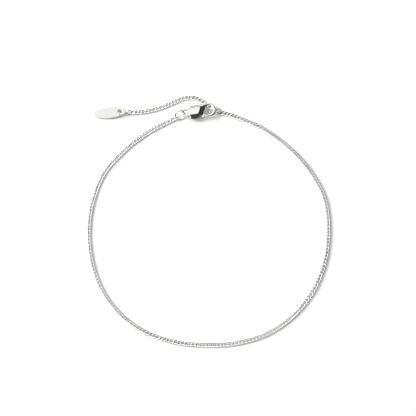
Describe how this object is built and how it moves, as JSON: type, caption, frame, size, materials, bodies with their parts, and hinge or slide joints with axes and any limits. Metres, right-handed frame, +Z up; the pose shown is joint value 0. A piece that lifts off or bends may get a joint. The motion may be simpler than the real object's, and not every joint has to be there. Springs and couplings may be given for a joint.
{
  "type": "curb chain bracelet",
  "caption": "Fine curb chain bracelet closed into a loop by a lobster clasp, with a short extender chain that ends in a plain oval tag.",
  "frame": {"origin": "on the table, under the middle of the whole bracelet's bounding box", "axes": "+Z up from the table, +Y from the front of the loop to the clasp, +X to the right as the picture sees it"},
  "size_m": [0.0551, 0.0613, 0.0027],
  "materials": {
    "chain_silver": "polished drawn silver wire",
    "ring_silver": "polished drawn silver wire",
    "tag_silver": "stamped silver sheet, softly polished",
    "clasp_silver": "cast silver, tumbled and polished"
  },
  "bodies": {
    "bracelet": {"main_chain": "chain_silver", "extender_chain": "chain_silver", "jump_ring": "ring_silver", "hook_ring": "ring_silver", "tag_ring": "ring_silver", "tag": "tag_silver", "clasp_body": "clasp_silver"},
    "lever": {"clasp_lever": "clasp_silver"}
  },
  "joints": [
    {"name": "lever_hinge", "type": "hinge", "parent": "bracelet", "child": "lever", "pos_m": [-0.00178, 0.02551, 0.00121], "axis": [0, 0, 1], "range_deg": [0, 25], "stiffness_Nm_per_rad": 0.00000002, "springref_deg": -5.73}
  ]
}
